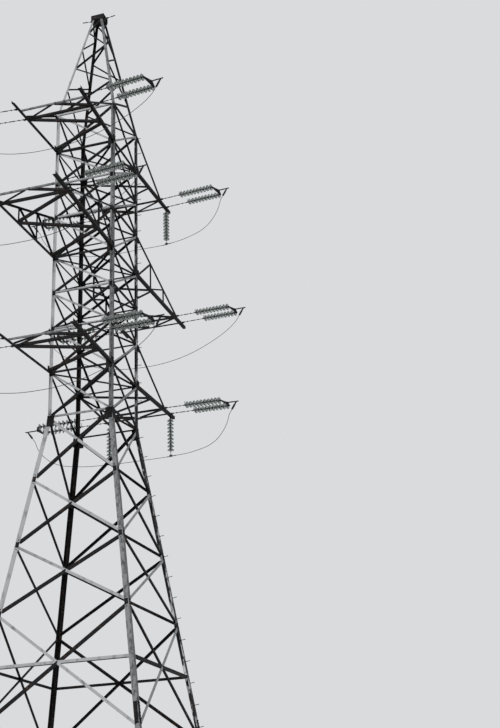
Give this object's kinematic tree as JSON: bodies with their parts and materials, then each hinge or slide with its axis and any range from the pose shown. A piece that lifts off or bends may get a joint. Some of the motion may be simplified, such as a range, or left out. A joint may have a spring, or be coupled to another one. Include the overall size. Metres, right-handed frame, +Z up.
{
  "type": "lattice transmission pylon, 1:2 scale model",
  "caption": "Half-size lattice tension tower: square tapering body, three levels of box crossarms, pyramid peak and double insulator strings.",
  "frame": {"origin": "on the ground at the tower's axis, at the centre of the anchor bolts", "axes": "+Z up, +X out along the right crossarms, +Y along the power line"},
  "size_m": [8.9697, 6.188, 23.862],
  "materials": {
    "galvanised_steel": "weathered zinc",
    "dark_steel": "weathered and dirty zinc",
    "insulator": "toughened glass discs with iron caps",
    "conductor": "weathered stranded conductor"
  },
  "bodies": {
    "root": {"lower_leg_front_left": "galvanised_steel", "lower_leg_front_right": "galvanised_steel", "lower_leg_back_left": "galvanised_steel", "lower_leg_back_right": "galvanised_steel", "upper_leg_front_left": "galvanised_steel", "upper_leg_front_right": "galvanised_steel", "upper_leg_back_left": "galvanised_steel", "upper_leg_back_right": "galvanised_steel", "base_bracing_front": "galvanised_steel", "base_bracing_right": "galvanised_steel", "base_bracing_back": "galvanised_steel", "base_bracing_left": "galvanised_steel", "lower_bracing_front": "galvanised_steel", "lower_bracing_right": "galvanised_steel", "lower_bracing_back": "galvanised_steel", "lower_bracing_left": "galvanised_steel", "upper_bracing_front": "galvanised_steel", "upper_bracing_right": "galvanised_steel", "upper_bracing_back": "galvanised_steel", "upper_bracing_left": "galvanised_steel", "plan_bracing": "galvanised_steel", "peak_frame": "galvanised_steel", "earth_wire_beam": "dark_steel", "crossarm_low_left": "dark_steel", "crossarm_low_right": "dark_steel", "crossarm_mid_left": "dark_steel", "crossarm_mid_right": "dark_steel", "crossarm_top_left": "dark_steel", "crossarm_top_right": "dark_steel", "tension_sets_low_left": "insulator", "tension_sets_low_right": "insulator", "tension_sets_mid_left": "insulator", "tension_sets_mid_right": "insulator", "tension_sets_top_left": "insulator", "tension_sets_top_right": "insulator", "jumper_strings": "insulator", "jumper_low_left": "conductor", "jumper_low_right": "conductor", "jumper_mid_left": "conductor", "jumper_mid_right": "conductor", "jumper_top_left": "conductor", "jumper_top_right": "conductor"}
  },
  "joints": []
}
